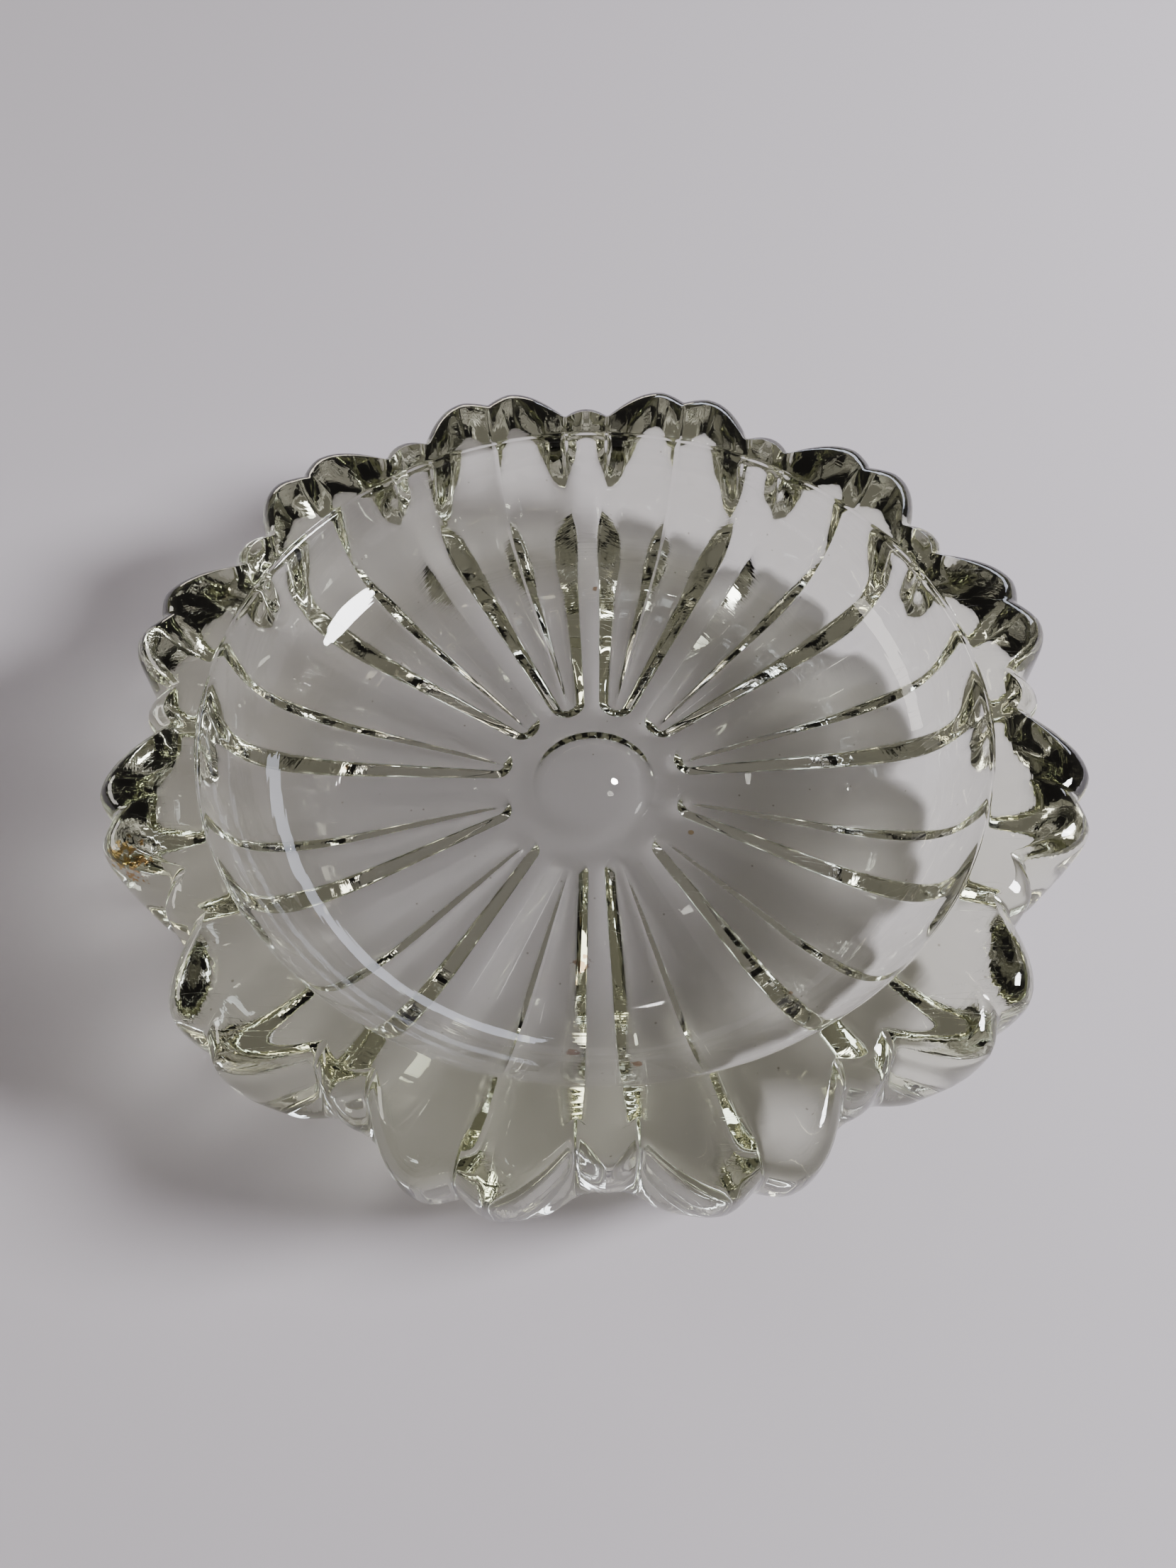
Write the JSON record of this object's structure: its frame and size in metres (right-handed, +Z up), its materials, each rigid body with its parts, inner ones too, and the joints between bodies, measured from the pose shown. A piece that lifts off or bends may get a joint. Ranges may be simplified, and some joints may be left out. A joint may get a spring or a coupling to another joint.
{
  "type": "pressed glass bowl",
  "caption": "Shallow round clear-glass bowl with a smooth cavity, broad petal flutes outside and a scalloped rim, used as a small serving dish or catch-all.",
  "frame": {"origin": "centre of the base, on the surface that the bowl stands on", "axes": "+Z up along the bowl's axis, towards the open side; +X and +Y each run out along a narrow rib to a small scallop"},
  "size_m": [0.16, 0.16, 0.032],
  "materials": {
    "clear_glass": "fire-polished clear glass with a faint grey-green cast"
  },
  "bodies": {
    "root": {"glass_bowl": "clear_glass"}
  },
  "joints": []
}
